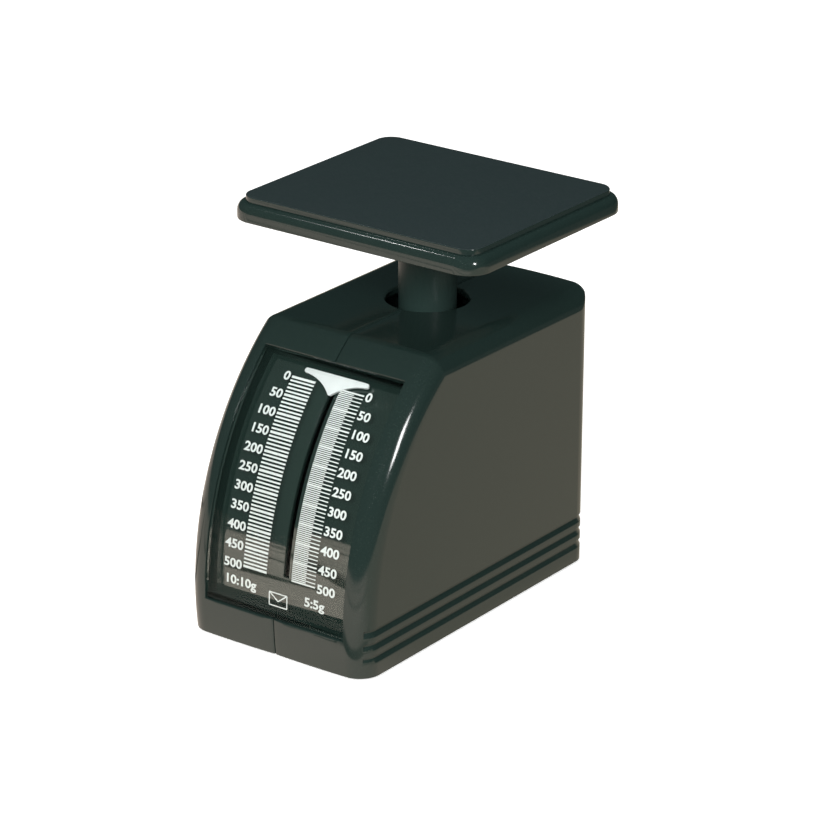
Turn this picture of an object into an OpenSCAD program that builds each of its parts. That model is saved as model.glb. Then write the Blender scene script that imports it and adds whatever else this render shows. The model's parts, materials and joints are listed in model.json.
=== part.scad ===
// Compact desk letter scale, 0 to 500 g: a two-shell housing with a curved window,
// a parallel-lever mechanism, an extension spring with a zero wheel, and a square tray.
// +Z is up, the window faces -Y, X runs across. The origin is on the table under the middle.

/* [Housing] */
// Width of the housing across both shells
housing_w = 75; // [70:0.5:80]
// Depth of the housing from its foremost line to its back
housing_d = 133; // [131:0.5:135]
// Height of the housing above its own bottom edge
housing_h = 102; // [100:0.5:106]
// Wall thickness of the shells
wall = 2.2; // [1.8:0.1:2.6]
// Radius of the rounded edge along each side
edge_r = 8; // [6:0.5:9]
// Radius of the curved front, centred on the lever pivot
front_r = 110; // [109:0.5:111]
// Height of the lever pivot above the bottom edge
pivot_h = 15; // [14.5:0.5:16]
// Soft fold between the front and the top
fold_r = 5; // [4:0.5:7]
// Rounding between the top and the back
back_r = 3.5; // [2:0.5:5]
// Number of decorative grooves round the foot
groove_count = 3; // [1:1:3]
// Height of the rubber feet under the housing
foot_h = 1; // [1:0.1:1.5]

/* [Window] */
// Width of the window opening
window_w = 58; // [52:1:59]
// Angle of the window's top edge above the pivot
window_top_a = 46.2; // [46:0.1:47]
// Angle of the window's bottom edge
window_low_a = -1; // [-1.5:0.1:0]

/* [Mechanism] */
// Turn of the levers from empty to full load
swing_a = 35.5; // [30:0.5:36]
// Distance from the lever pivots forward to the post
post_reach = 23.5; // [22.5:0.5:24]
// Height between the two parallel levers
lever_gap = 52; // [51:0.5:53]
// Radius of the pivot shafts and post pins
shaft_r = 1.5; // [1.2:0.1:1.6]
// Running clearance of each pivot, on the radius
run_gap = 0.05; // [0.02:0.01:0.1]
// Distance from the upper pivot back to the spring pin
tail_reach = 15.5; // [15:0.5:16]

/* [Tray] */
// Width of the weighing tray
tray_w = 102.5; // [90:0.5:110]
// Depth of the weighing tray
tray_d = 90; // [80:0.5:100]
// Height of the tray's top above the table
tray_z = 141.2; // [139:0.1:143]
// Overall thickness of the tray's edge
tray_t = 8.2; // [7.8:0.1:8.8]
// Radius of the post above the housing
post_r = 10; // [9:0.5:11]

/* [Hidden] */

$fn = 64;
eps = 0.01;

// Housing places
wheel_r = 12.8;
wheel_stand = 5;
body_d = housing_d + wheel_stand;
front_y = -body_d / 2;
back_y = front_y + housing_d;
low_z = foot_h;
top_z = low_z + housing_h;
pivot_z = low_z + pivot_h;
pivot_y = front_y + front_r;
inner_r = front_r - wall;
half_w = housing_w / 2;
plate_t = 2;
floor_z = low_z + plate_t;

// Window, pane and dial, as radii about the pivot
pane_front_r = front_r - 0.9;
pane_back_r = front_r - 3;
flange_r = inner_r - 0.05;
flange_lap = 1.4;
dial_r = front_r - 7;
dial_t = 1.5;
dial_wall = 1.4;
dial_half = window_w / 2 + 0.2;
slot_half = 1.4;
ear_x = 33;
ear_angles = [4, 41];
ear_inset = 0.15;

// Pointer
pointer_a = 44;
pointer_back_r = dial_r + 0.6;
pointer_t = 0.8;
arm_half_t = 0.6;
arm_root = 6.5;
arm_clamp = 24;
rivet_stations = [12.5, 20.5];

// Levers: each swings as far above the level line as below it
rest_a = swing_a / 2;
lever_len = post_reach / cos(rest_a);
post_y = pivot_y - post_reach;
low_pin_z = pivot_z + lever_len * sin(rest_a);
high_z = pivot_z + lever_gap;
high_pin_z = low_pin_z + lever_gap;
lever_half = 4;
lever_r = 3.5;
hub_r = 5;
hub_half = 8;
bush_r = 2.6;
bore_r = shaft_r + run_gap;
seat_gap = 0.02;

// Frame that carries the shafts
frame_in = 22.5;
frame_t = 1.5;
frame_out = frame_in + frame_t;
sleeve_r = 2.3;
stop_u = 9;
stop_v = lever_r + sleeve_r + 0.1;

// Spring and zero wheel
tail_y = pivot_y + tail_reach * cos(rest_a);
tail_z = high_z - tail_reach * sin(rest_a);
spring_y = 56.2;
spring_r = 3.4;
wire_r = 0.45;
screw_r = 2;
wheel_z = 22.2;
wheel_t = 5;
bracket_z = 20;
bracket_h = 9.6;
eye_z = 38;
eye_r = 2.6;
eye_wire_r = 0.8;
spring_pin_r = 1;

// Post and tray
column_low = 84;
cheek_in = 5;
cheek_t = 3;
cheek_half = 6;
flange_z = tray_z - 6;
tray_corner = 9;
tray_step = 3;
tray_step_h = 2;
shoulder_h = 3.6;
tray_wall = 2;
hole_r = 14.5;

// Screw bosses that join the shells, as [y, z]
joints_yz = [[-12, 91], [52, 91]];
// Places of the base screws and of the feet, as [x, y]
base_xy = [[-28, -48], [28, -48], [-28, 50], [28, 50]];
feet_xy = [[-27, -57], [27, -57], [-27, 40], [27, 40]];
frame_xy = [[-17, 31], [17, 31], [-17, 47], [17, 47]];

// ---- Helpers ----

// Extrudes a shape drawn in the Y-Z plane from x0 to x1
module across(x0, x1)
    translate([x0, 0, 0]) rotate([90, 0, 90]) linear_extrude(x1 - x0) children();

// A cylinder along X between x0 and x1 through (y, z)
module rod_x(y, z, r, x0, x1)
    translate([x0, y, z]) rotate([0, 90, 0]) cylinder(r = r, h = x1 - x0);

// The same on both sides of the middle
module both_sides() {
    children();
    mirror([1, 0, 0]) children();
}

// A band of the cylinder about the pivot, between two radii, two x and two angles
module arc_band(r0, r1, x0, x1, a0, a1)
    translate([0, pivot_y, pivot_z]) rotate([90, 0, -90]) rotate([0, 0, a0])
        rotate_extrude(angle = a1 - a0, $fn = 360)
            translate([r0, -x1]) square([r1 - r0, x1 - x0]);

// Places children on the front arc: Z points outward, Y up along the arc
module on_arc(a, r, x = 0)
    translate([x, pivot_y, pivot_z]) rotate([90 - a, 0, 0]) translate([0, 0, r])
        children();

// A bar with round ends, in the plane, along +X
module bar(len, r) {
    circle(r);
    translate([len, 0]) circle(r);
    translate([0, -r]) square([len, 2 * r]);
}

// Turns a flat shape so that +X points forward and up by angle a from a pivot
module forward(y, z, a)
    translate([y, z]) rotate(180 - a) children();

module rounded_rect(w, d, r) {
    square([w - 2 * r, d], center = true);
    square([w, d - 2 * r], center = true);
    for (x = [-1, 1], y = [-1, 1])
        translate([x * (w / 2 - r), y * (d / 2 - r)]) circle(r);
}

// A pan-head screw along +Z: the head's underside is at z = 0, the shank above it
module screw(r, len, head_r, head_h) {
    cylinder(r = r, h = len);
    difference() {
        translate([0, 0, -head_h]) cylinder(r = head_r, h = head_h);
        for (a = [0, 90])
            translate([0, 0, -head_h]) rotate(a)
                cube([head_r * 1.2, head_r * 0.25, head_h], center = true);
    }
}

// ---- Housing shells ----

// Side outline of the housing, pushed in by a margin and cut off level at a height
function outline(m, steps, cut_z) =
    let (r = front_r - m, fold = max(fold_r - m, 1), back = max(back_r - m, 1),
         top = top_z - m,
         a0 = asin((cut_z - pivot_z) / r),
         a1 = asin((top - fold - pivot_z) / (r - fold)),
         fold_y = pivot_y - (r - fold) * cos(a1))
    concat(
        [for (i = [0 : steps]) let (a = a0 + (a1 - a0) * i / steps)
            [pivot_y - r * cos(a), pivot_z + r * sin(a)]],
        [for (i = [1 : 6]) let (a = a1 + (90 - a1) * i / 6)
            [fold_y - fold * cos(a), top - fold + fold * sin(a)]],
        [for (i = [0 : 6]) let (a = 90 - 15 * i)
            [back_y - m - back + back * cos(a), top - back + back * sin(a)]],
        [[back_y - m, cut_z]]);

// Solid through a row of [x, margin] stations of that outline, from low x to high x
module loft(stations, steps, cut_z) {
    rings = [for (s = stations) [for (p = outline(s[1], steps, cut_z)) [s[0], p[0], p[1]]]];
    n = len(rings[0]);
    last = (len(rings) - 1) * n;
    ends = [[for (j = [n - 1 : -1 : 0]) j], [for (j = [0 : n - 1]) last + j]];
    sides = [for (i = [0 : len(rings) - 2], j = [0 : n - 1]) let (k = (j + 1) % n)
        [i * n + j, i * n + k, (i + 1) * n + k, (i + 1) * n + j]];
    polyhedron(points = [for (r = rings) each r], faces = concat(ends, sides), convexity = 4);
}

// Stations of a side edge rounded by r, on a form pushed in by a margin
function edge_stations(m, r) =
    [for (p = [0 : 15 : 90]) [half_w - m - r + r * sin(p), m + r * (1 - cos(p))]];

// Grooves that run round the side and the back, and stop short of the front
module grooves() {
    width = 2.8;
    depth = 0.9;
    pitch = 4.8;
    front_end = front_y + 3.1;
    for (i = [0 : groove_count - 1])
        translate([0, 0, low_z + 4.9 + i * pitch]) linear_extrude(width)
            difference() {
                translate([0, front_end]) square([half_w + 1, body_d]);
                translate([0, (front_y + back_y) / 2])
                    rounded_rect(housing_w - 2 * depth, housing_d - 2 * depth, edge_r - depth);
            }
}

// The right shell; the left one is its mirror image apart from the screw entries
module shell(entry_side) {
    boss_r = 4.6;
    seam = 0.35;
    difference() {
        union() {
            difference() {
                loft(concat([[0.05, seam], [0.05 + seam, 0]], edge_stations(0, edge_r)), 44, low_z);
                loft(concat([[-1, wall]], edge_stations(wall, edge_r - wall)), 30, low_z - 1);
            }
            for (p = joints_yz) rod_x(p[0], p[1], boss_r, 0.05, half_w - wall / 2);
            for (p = base_xy) if (p[0] > 0)
                translate([p[0], p[1], floor_z + 0.05]) cylinder(r = 3.6, h = 12);
            for (p = base_xy) if (p[0] > 0)
                translate([p[0], p[1] - 1, floor_z + 3]) cube([half_w - wall - p[0] + 0.5, 2, 9]);
            for (a = ear_angles)
                on_arc(a, dial_r - ear_inset, ear_x) cylinder(r = 2.2, h = 4);
        }
        arc_band(dial_r - 8, front_r + 5, -1, window_w / 2, window_low_a, window_top_a);
        translate([0, post_y, top_z - 10]) cylinder(r = hole_r, h = 20);
        translate([-1, spring_y, wheel_z - 0.9]) cube([wheel_r, 20, wheel_t + 1.8]);
        for (p = joints_yz) {
            rod_x(p[0], p[1], 1.55, -1, entry_side ? half_w + 1 : 16);
            if (entry_side) rod_x(p[0], p[1], 3.1, 12, half_w + 1);
        }
        for (p = base_xy) translate([p[0], p[1], low_z]) cylinder(r = 1.3, h = 11);
        for (a = ear_angles) on_arc(a, dial_r - 1, ear_x) cylinder(r = 0.95, h = 5);
        grooves();
    }
}

module housing_right() color([0.10, 0.14, 0.13]) shell(false);

module housing_left() color([0.10, 0.14, 0.13]) mirror([1, 0, 0]) shell(true);

module housing_screws() color([0.75, 0.75, 0.76])
    for (p = joints_yz)
        translate([-12, p[0], p[1]]) rotate([0, 90, 0]) screw(1.5, 26, 2.8, 2);

// ---- Base ----

module base_plate() color([0.16, 0.17, 0.17])
    difference() {
        gap = 0.3;
        inner_front = pivot_y - sqrt(pow(inner_r, 2) - pow(pivot_h - plate_t, 2));
        plate_d = back_y - wall - inner_front - 2 * gap;
        translate([0, (back_y - wall + inner_front) / 2, low_z]) linear_extrude(plate_t)
            rounded_rect(housing_w - 2 * wall - 2 * gap, plate_d, edge_r - wall);
        for (p = base_xy) translate([p[0], p[1], low_z - 1]) {
            cylinder(r = 1.4, h = plate_t + 2);
            cylinder(r = 2.7, h = 2.1);
        }
        for (p = frame_xy) translate([p[0], p[1], low_z - 1]) {
            cylinder(r = 1.35, h = plate_t + 2);
            cylinder(r = 2.7, h = 2.1);
        }
        for (p = feet_xy) translate([p[0], p[1], low_z - 1]) cylinder(r = 1.6, h = plate_t + 2);
    }

module rubber_feet() color([0.08, 0.08, 0.08])
    for (p = feet_xy) translate([p[0], p[1], 0]) {
        cylinder(r1 = 4.2, r2 = 5, h = foot_h);
        cylinder(r = 1.55, h = foot_h + plate_t + 0.4);
        translate([0, 0, floor_z + 0.05]) cylinder(r1 = 2.3, r2 = 1.5, h = 1.6);
    }

module base_screws() color([0.75, 0.75, 0.76])
    for (p = base_xy) translate([p[0], p[1], low_z + 1.1]) screw(1.25, 9, 2.5, 1);

// ---- Window and dial ----

module window_pane() color([0.85, 0.92, 0.90, 0.35]) {
    gap = 0.15;
    gap_a = 0.08;
    arc_band(pane_back_r, pane_front_r, -window_w / 2 + gap, window_w / 2 - gap,
             window_low_a + gap_a, window_top_a - gap_a);
    arc_band(pane_back_r, flange_r, -window_w / 2 - flange_lap, window_w / 2 + flange_lap,
             window_low_a - 0.8, window_top_a + 0.8);
}

// Curved black backing behind the pointer: a shallow box open towards the pane
module dial_tray() color([0.05, 0.06, 0.06]) {
    rim = pane_back_r - 0.05;
    end_a = 0.7;
    low = window_low_a - end_a;
    high = window_top_a + end_a;
    outer_half = dial_half + dial_wall;
    difference() {
        union() {
            arc_band(dial_r - dial_t, rim, -outer_half, outer_half, low, high);
            both_sides() for (a = ear_angles)
                arc_band(dial_r - dial_t + ear_inset, dial_r - ear_inset,
                         dial_half, ear_x + 2.1, a - 1.3, a + 1.3);
        }
        arc_band(dial_r, rim + 1, -dial_half, dial_half, low + end_a, high - end_a);
        arc_band(dial_r - dial_t - 1, dial_r + 1, -slot_half, slot_half,
                 pointer_a - swing_a - 2.6, pointer_a + 1.6);
        both_sides() for (a = ear_angles)
            on_arc(a, dial_r - 5, ear_x) cylinder(r = 1.05, h = 9);
    }
}

module dial_screws() color([0.75, 0.75, 0.76])
    both_sides() for (a = ear_angles)
        on_arc(a, dial_r - dial_t + ear_inset - 0.02, ear_x) screw(0.9, 4.8, 1.8, 1);

// ---- Pointer and levers ----

module pointer_head() color([0.93, 0.94, 0.94]) {
    bar_half = 13.25;
    bar_h = 1.8;
    tip_h = 7.3;
    tip_half = 0.45;
    rise = tip_h - bar_h;
    flank_r = (pow(bar_half - tip_half, 2) + pow(rise, 2)) / (2 * rise);
    on_arc(pointer_a, pointer_back_r) difference() {
        linear_extrude(pointer_t) translate([0, bar_h]) {
            translate([-bar_half + bar_h / 2, -bar_h])
                square([2 * bar_half - bar_h, bar_h]);
            for (s = [-1, 1])
                translate([s * (bar_half - bar_h / 2), -bar_h / 2]) circle(bar_h / 2);
            difference() {
                translate([-bar_half, -tip_h]) square([2 * bar_half, rise + eps]);
                for (s = [-1, 1])
                    translate([s * bar_half, -bar_h - flank_r]) circle(flank_r, $fn = 200);
                for (s = [-1, 1])
                    translate([s * (bar_half + tip_half) - bar_half, -tip_h - 1])
                        square([2 * bar_half, eps]);
            }
        }
        cube([2 * arm_half_t + 0.1, 2.5, 4], center = true);
    }
}

module pointer_arm() color([0.70, 0.71, 0.72])
    difference() {
        across(-arm_half_t, arm_half_t) forward(pivot_y, pivot_z, pointer_a)
            polygon([[arm_root, -2.5], [arm_clamp, -2.5], [dial_r - 3, -1.2],
                     [pointer_back_r + pointer_t, -1.2], [pointer_back_r + pointer_t, 1.2],
                     [dial_r - 3, 1.2], [arm_clamp, 2.5], [arm_root, 2.5]]);
        for (u = rivet_stations) arm_rod(u, 1.05, 2);
    }

// A rod along X at distance u out along the pointer arm
module arm_rod(u, r, half)
    rod_x(pivot_y - u * cos(pointer_a), pivot_z + u * sin(pointer_a), r, -half, half);

module arm_rivets() color([0.80, 0.80, 0.78])
    for (u = rivet_stations) {
        arm_rod(u, 1, lever_half + 0.45);
        both_sides() rod_x(pivot_y - u * cos(pointer_a), pivot_z + u * sin(pointer_a),
                           1.8, lever_half + 0.02, lever_half + 0.45);
    }

// Lower lever: carries the post on one branch and clamps the pointer arm in the other
module main_lever() color([0.62, 0.63, 0.64])
    difference() {
        union() {
            across(-lever_half, lever_half) {
                forward(pivot_y, pivot_z, rest_a) bar(lever_len, lever_r);
                forward(pivot_y, pivot_z, pointer_a) bar(arm_clamp - 1, lever_r);
            }
            rod_x(pivot_y, pivot_z, hub_r, -hub_half, hub_half);
        }
        rod_x(pivot_y, pivot_z, bush_r + seat_gap, -hub_half - 1, hub_half + 1);
        rod_x(post_y, low_pin_z, bore_r, -hub_half, hub_half);
        across(-arm_half_t - 0.05, arm_half_t + 0.05) forward(pivot_y, pivot_z, pointer_a)
            translate([arm_root - 0.6, -2.7]) square([arm_clamp, 5.4]);
        for (u = rivet_stations) arm_rod(u, 1.05, hub_half);
    }

// Upper lever: keeps the post upright, and its tail stretches the spring
module upper_lever() color([0.62, 0.63, 0.64])
    difference() {
        union() {
            across(-lever_half, lever_half) {
                forward(pivot_y, high_z, rest_a) bar(lever_len, lever_r);
                forward(pivot_y, high_z, rest_a - 180) bar(tail_reach, lever_r - 0.7);
            }
            rod_x(pivot_y, high_z, hub_r, -hub_half, hub_half);
        }
        rod_x(pivot_y, high_z, bush_r + seat_gap, -hub_half - 1, hub_half + 1);
        rod_x(post_y, high_pin_z, bore_r, -hub_half, hub_half);
        rod_x(tail_y, tail_z, spring_pin_r + seat_gap, -hub_half, hub_half);
        across(-2, 2) forward(pivot_y, high_z, rest_a - 180)
            translate([tail_reach - 5, -lever_r]) square([10, 2 * lever_r]);
    }

module spring_pin() color([0.78, 0.79, 0.80])
    rod_x(tail_y, tail_z, spring_pin_r, -lever_half - 0.6, lever_half + 0.6);

module bush(z) color([0.72, 0.58, 0.30])
    difference() {
        rod_x(pivot_y, z, bush_r, -hub_half, hub_half);
        rod_x(pivot_y, z, bore_r, -hub_half - 1, hub_half + 1);
    }

module main_lever_bush() bush(pivot_z);

module upper_lever_bush() bush(high_z);

// ---- Frame, shafts and stops ----

// Middle of a stop rod on the upper lever's tail: side -1 is empty, 1 is full load
function stop_yz(side) =
    [pivot_y + stop_u * cos(rest_a) - stop_v * sin(rest_a),
     high_z + side * (stop_u * sin(rest_a) + stop_v * cos(rest_a))];

module mechanism_frame() color([0.66, 0.68, 0.68])
    difference() {
        union() {
            translate([-frame_out, 27, floor_z + 0.02])
                cube([2 * frame_out, 24, frame_t]);
            both_sides() across(frame_in, frame_out) {
                translate([33, floor_z + 0.02]) square([18, 78]);
                translate([50, 18]) square([10.5, 14]);
            }
        }
        for (z = [pivot_z, high_z])
            rod_x(pivot_y, z, shaft_r + seat_gap, -frame_out - 1, frame_out + 1);
        for (s = [-1, 1])
            rod_x(stop_yz(s)[0], stop_yz(s)[1], shaft_r + seat_gap,
                  -frame_out - 1, frame_out + 1);
        rod_x(spring_y - 3, bracket_z + bracket_h / 2, 1.22, -frame_out - 1, frame_out + 1);
        for (p = frame_xy) translate([p[0], p[1], floor_z - 1]) cylinder(r = 1.2, h = 4);
        both_sides() across(frame_in - 1, frame_out + 1)
            translate([37, 28]) bar_slot(16);
    }

// Lightening slot in a side plate
module bar_slot(h) {
    circle(3);
    translate([0, h]) circle(3);
    translate([-3, 0]) square([6, h]);
}

module frame_screws() color([0.75, 0.75, 0.76])
    for (p = frame_xy) translate([p[0], p[1], low_z + 1.1]) screw(1.15, 4.2, 2.5, 1);

module lower_shaft() color([0.78, 0.79, 0.80])
    rod_x(pivot_y, pivot_z, shaft_r, -frame_out - 2, frame_out + 2);

module upper_shaft() color([0.78, 0.79, 0.80])
    rod_x(pivot_y, high_z, shaft_r, -frame_out - 2, frame_out + 2);

// A round clip on a rod along X, open at the bottom like an E-clip
module clip(y, z, x0, x1, r)
    difference() {
        rod_x(y, z, r, x0, x1);
        rod_x(y, z, shaft_r + seat_gap, x0 - 1, x1 + 1);
        translate([x0 - 1, y - shaft_r * 0.7, z - r - 1]) cube([x1 - x0 + 2, shaft_r * 1.4, r + 1]);
    }

module shaft_clips() color([0.50, 0.51, 0.52])
    both_sides() for (z = [pivot_z, high_z])
        clip(pivot_y, z, frame_out + 0.1, frame_out + 0.9, 3.4);

module shaft_spacers() color([0.86, 0.86, 0.82])
    both_sides() for (z = [pivot_z, high_z]) difference() {
        rod_x(pivot_y, z, 2.8, hub_half + 0.15, frame_in - 0.1);
        rod_x(pivot_y, z, shaft_r + seat_gap, hub_half - 1, frame_in + 1);
    }

module stop_rods() color([0.78, 0.79, 0.80])
    for (s = [-1, 1])
        rod_x(stop_yz(s)[0], stop_yz(s)[1], shaft_r, -frame_out - 1, frame_out + 1);

module stop_sleeves() color([0.10, 0.10, 0.10])
    for (s = [-1, 1]) difference() {
        rod_x(stop_yz(s)[0], stop_yz(s)[1], sleeve_r, -9, 9);
        rod_x(stop_yz(s)[0], stop_yz(s)[1], shaft_r + seat_gap, -10, 10);
    }

// ---- Zero adjustment and spring ----

module adjuster_bracket() color([0.66, 0.68, 0.68])
    difference() {
        union() {
            for (z = [bracket_z, bracket_z + bracket_h - frame_t])
                translate([-frame_in + 0.1, 46, z]) cube([2 * frame_in - 0.2, 14, frame_t]);
            both_sides() translate([frame_in - 0.1 - frame_t, 46, bracket_z])
                cube([frame_t, 14, bracket_h]);
        }
        translate([0, spring_y, bracket_z - 1]) cylinder(r = screw_r + 0.2, h = bracket_h + 2);
        rod_x(spring_y - 3, bracket_z + bracket_h / 2, 1.22, -frame_in, frame_in);
    }

module bracket_rivets() color([0.80, 0.80, 0.78])
    both_sides() {
        y = spring_y - 3;
        z = bracket_z + bracket_h / 2;
        rod_x(y, z, 1.2, frame_in - frame_t - 0.6, frame_out + 0.5);
        rod_x(y, z, 2, frame_out + 0.02, frame_out + 0.5);
        rod_x(y, z, 2, frame_in - frame_t - 0.6, frame_in - frame_t - 0.12);
    }

// Knurled wheel that turns as a nut on the hook screw
module zero_wheel() color([0.12, 0.14, 0.14]) {
    notches = 40;
    translate([0, spring_y, wheel_z]) difference() {
        cylinder(r = wheel_r, h = wheel_t, $fn = 120);
        translate([0, 0, -1]) cylinder(r = screw_r + run_gap, h = wheel_t + 2);
        for (i = [0 : notches - 1]) rotate(i * 360 / notches + 180 / notches)
            translate([wheel_r + 0.25, 0, -1]) cylinder(r = 0.65, h = wheel_t + 2, $fn = 24);
        for (z = [-1, wheel_t - 0.8]) translate([0, 0, z]) difference() {
            cylinder(r = wheel_r - 2.5, h = 1.8);
            translate([0, 0, -1]) cylinder(r = 5, h = 4);
        }
    }
}

module hook_screw() color([0.80, 0.72, 0.45])
    translate([0, spring_y, 0]) {
        translate([0, 0, 16.5]) cylinder(r = screw_r, h = eye_z - eye_r - 16.5);
        translate([0, 0, eye_z]) rotate([90, 0, 0])
            rotate_extrude() translate([eye_r, 0]) circle(eye_wire_r, $fn = 32);
    }

// Points of the coil's centre line, closed up like a tension spring at rest
coil_low = eye_z + 6;
coil_high = tail_z - 5;
coil_turns = 10;
ring_steps = 14;
wire_sides = 8;

function coil_point(t) =
    [spring_r * cos(360 * t), spring_r * sin(360 * t),
     coil_low + (coil_high - coil_low) * t / coil_turns];

// One ring of the wire's surface about the centre line at turn t
function coil_ring(t) =
    let (out = [cos(360 * t), sin(360 * t), 0], up = [0, 0, 1])
    [for (j = [0 : wire_sides - 1]) let (b = 360 * j / wire_sides)
        coil_point(t) + wire_r * (cos(b) * out + sin(b) * up)];

module coil() {
    rings = coil_turns * ring_steps;
    points = [for (i = [0 : rings]) each coil_ring(i / ring_steps)];
    ends = [[for (j = [wire_sides - 1 : -1 : 0]) j],
            [for (j = [0 : wire_sides - 1]) rings * wire_sides + j]];
    sides = [for (i = [0 : rings - 1], j = [0 : wire_sides - 1])
        let (k = (j + 1) % wire_sides)
        [i * wire_sides + j, i * wire_sides + k,
         (i + 1) * wire_sides + k, (i + 1) * wire_sides + j]];
    polyhedron(points = points, faces = concat(ends, sides), convexity = 10);
}

// End hook: a ring of wire in the Y-Z plane and a straight leg out to the coil's end
module spring_hook(low, high, leg_z) {
    loop_r = (high - low) / 2;
    translate([0, 0, low + loop_r]) rotate([0, 90, 0])
        rotate_extrude() translate([loop_r, 0]) circle(wire_r, $fn = 24);
    translate([-0.3, 0, leg_z]) rotate([0, 90, 0]) cylinder(r = wire_r, h = spring_r + 0.6);
}

module tension_spring() color([0.82, 0.83, 0.84])
    translate([0, spring_y, 0]) {
        play = 0.15;
        coil();
        spring_hook(eye_z + eye_r - eye_wire_r - wire_r - play, coil_low, coil_low);
        spring_hook(coil_high, tail_z + spring_pin_r + wire_r + play, coil_high);
    }

// ---- Post and tray ----

module post() color([0.09, 0.12, 0.11])
    difference() {
        union() {
            translate([0, post_y, column_low]) cylinder(r = post_r, h = flange_z - column_low);
            translate([0, post_y, flange_z - 2]) cylinder(r = 17, h = 2);
            both_sides() across(cheek_in, cheek_in + cheek_t)
                translate([post_y - cheek_half, low_pin_z - 4])
                    square([2 * cheek_half, column_low - low_pin_z + 4.5]);
            across(-cheek_in - 0.1, cheek_in + 0.1) translate([post_y - 5, 52]) square([10, 8]);
        }
        translate([0, post_y, column_low + 3]) cylinder(r = post_r - 2.4, h = 60);
        for (z = [low_pin_z, high_pin_z])
            rod_x(post_y, z, shaft_r + seat_gap, -post_r, post_r);
        for (a = [30, 150, 270]) translate([0, post_y, flange_z - 5]) rotate(a)
            translate([13.6, 0, 0]) cylinder(r = 1.3, h = 10);
    }

module post_pin(z) color([0.78, 0.79, 0.80])
    rod_x(post_y, z, shaft_r, -cheek_in - cheek_t - 1.6, cheek_in + cheek_t + 1.6);

module lower_post_pin() post_pin(low_pin_z);

module upper_post_pin() post_pin(high_pin_z);

module post_pin_clips() color([0.50, 0.51, 0.52])
    both_sides() for (z = [low_pin_z, high_pin_z])
        clip(post_y, z, cheek_in + cheek_t + 0.1, cheek_in + cheek_t + 0.8, 2.9);

// One thin level of the tray's outline, pushed in by a margin
module tray_level(m, z)
    translate([0, post_y, z]) linear_extrude(eps)
        rounded_rect(tray_w - 2 * m, tray_d - 2 * m, tray_corner - m);

module weighing_tray() color([0.10, 0.12, 0.12]) {
    skirt_z = tray_z - tray_t;
    shoulder_z = tray_z - tray_step_h;
    difference() {
        union() {
            hull() {
                tray_level(0.3, skirt_z);
                tray_level(0, skirt_z + 0.5);
                for (p = [0 : 14 : 84])
                    tray_level(tray_step * (1 - cos(p)), shoulder_z - shoulder_h * (1 - sin(p)));
            }
            translate([0, post_y, shoulder_z - 1]) linear_extrude(tray_step_h + 1)
                rounded_rect(tray_w - 2 * tray_step, tray_d - 2 * tray_step, tray_corner - tray_step);
        }
        hull() {
            tray_level(tray_wall, skirt_z - 1);
            tray_level(tray_wall, skirt_z + 2);
            tray_level(tray_wall + 3, tray_z - tray_wall - 1);
        }
    }
    translate([0, post_y, flange_z + 0.02])
        difference() {
            cylinder(r = 17, h = tray_z - tray_wall - flange_z);
            for (a = [30, 150, 270]) rotate(a) translate([13.6, 0, -1])
                cylinder(r = 1.15, h = 4);
            translate([0, 0, -1]) cylinder(r = 8, h = 4);
        }
    for (a = [0 : 90 : 270]) translate([0, post_y, 0]) rotate(a)
        translate([15, -0.8, skirt_z + 2]) cube([24, 1.6, tray_t - tray_wall - 2.5]);
}

module tray_screws() color([0.75, 0.75, 0.76])
    for (a = [30, 150, 270]) translate([0, post_y, flange_z - 2.02]) rotate(a)
        translate([13.6, 0, 0]) screw(1.1, 4.6, 2.1, 1.2);

housing_left();
housing_right();
base_plate();
rubber_feet();
housing_screws();
base_screws();
window_pane();
dial_tray();
dial_screws();
mechanism_frame();
frame_screws();
lower_shaft();
upper_shaft();
shaft_clips();
shaft_spacers();
stop_rods();
stop_sleeves();
adjuster_bracket();
bracket_rivets();
zero_wheel();
hook_screw();
tension_spring();
main_lever();
main_lever_bush();
pointer_arm();
arm_rivets();
pointer_head();
upper_lever();
upper_lever_bush();
spring_pin();
post();
lower_post_pin();
upper_post_pin();
post_pin_clips();
weighing_tray();
tray_screws();
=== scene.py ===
"""Looks of the desk letter scale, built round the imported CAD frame. Metres, +Z up, window towards -Y."""

import json
import math

import bmesh
import bpy
from mathutils import Matrix, Vector


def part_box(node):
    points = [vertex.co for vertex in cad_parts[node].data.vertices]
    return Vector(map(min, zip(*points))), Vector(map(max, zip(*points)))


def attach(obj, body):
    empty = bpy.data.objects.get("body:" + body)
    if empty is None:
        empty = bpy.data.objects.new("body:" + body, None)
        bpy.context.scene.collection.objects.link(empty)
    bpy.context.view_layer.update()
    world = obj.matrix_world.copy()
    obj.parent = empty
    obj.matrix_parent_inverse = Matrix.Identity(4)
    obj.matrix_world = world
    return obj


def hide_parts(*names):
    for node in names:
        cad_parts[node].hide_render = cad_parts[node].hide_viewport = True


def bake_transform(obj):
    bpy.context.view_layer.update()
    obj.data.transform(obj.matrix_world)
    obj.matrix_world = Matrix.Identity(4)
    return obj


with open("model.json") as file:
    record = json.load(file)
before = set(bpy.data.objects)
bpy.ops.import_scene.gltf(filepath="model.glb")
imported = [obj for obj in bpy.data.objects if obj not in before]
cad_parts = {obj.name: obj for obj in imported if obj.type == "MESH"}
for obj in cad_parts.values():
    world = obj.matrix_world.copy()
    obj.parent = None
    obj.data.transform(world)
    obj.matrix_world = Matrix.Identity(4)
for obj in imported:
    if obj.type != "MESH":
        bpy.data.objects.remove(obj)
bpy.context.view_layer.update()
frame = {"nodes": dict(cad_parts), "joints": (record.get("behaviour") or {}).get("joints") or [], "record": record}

MM = 0.001
NODES = frame["nodes"]
JOINTS = {joint["name"]: joint for joint in frame["joints"]}

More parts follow.
